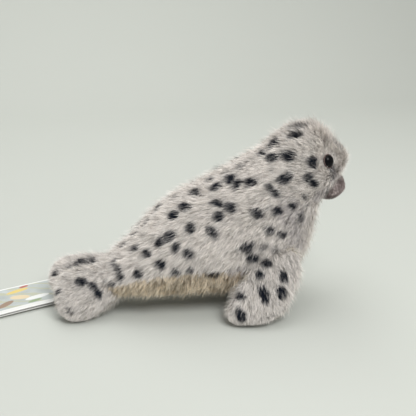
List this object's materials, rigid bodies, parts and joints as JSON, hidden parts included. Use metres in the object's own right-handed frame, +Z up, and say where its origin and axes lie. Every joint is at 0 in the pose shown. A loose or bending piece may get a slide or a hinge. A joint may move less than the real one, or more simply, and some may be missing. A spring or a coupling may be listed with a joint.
{
  "type": "plush seal",
  "caption": "Stuffed seal in long spotted pile fabric, resting on its flippers with its head raised, with domed eyes, a short-pile muzzle and a blank folded card tag on a nylon loop.",
  "frame": {"origin": "on the floor that the toy rests on, under the middle of its whole box, card tag included", "axes": "+X towards the seal's nose, +Y to its left side, +Z up"},
  "size_m": [0.346, 0.1362, 0.1665],
  "materials": {
    "spotted_pile": "long soft pile, pale grey-beige with dark slate spots",
    "belly_pile": "long soft pile, cream and tan, without spots",
    "pale_pile": "long soft pile, pale pinkish grey, without spots",
    "muzzle_pile": "short dense pile, mauve taupe",
    "stuffing": "loose white fibre",
    "eye_plastic": "polished black",
    "nose_plastic": "satin black",
    "washer_plastic": "plain white",
    "tag_card": "coated card, faintly glossy",
    "nylon": "milky, slightly see-through"
  },
  "bodies": {
    "root": {"coat_left": "spotted_pile", "coat_right": "spotted_pile", "belly_panel": "belly_pile", "chest_panel": "pale_pile", "body_stuffing": "stuffing", "muzzle_left": "muzzle_pile", "muzzle_right": "muzzle_pile", "chin": "muzzle_pile", "muzzle_stuffing": "stuffing", "nose": "nose_plastic", "eye_left": "eye_plastic", "eye_right": "eye_plastic", "eye_washer_left": "washer_plastic", "eye_washer_right": "washer_plastic", "front_flipper_right_top": "spotted_pile", "front_flipper_right_underside": "pale_pile", "front_flipper_right_stuffing": "stuffing", "front_flipper_left_top": "spotted_pile", "front_flipper_left_underside": "pale_pile", "front_flipper_left_stuffing": "stuffing", "rear_flipper_right_top": "spotted_pile", "rear_flipper_right_underside": "pale_pile", "rear_flipper_right_stuffing": "stuffing", "rear_flipper_left_top": "spotted_pile", "rear_flipper_left_underside": "pale_pile", "rear_flipper_left_stuffing": "stuffing", "swing_tag": "tag_card", "tag_loop": "nylon"}
  },
  "joints": []
}
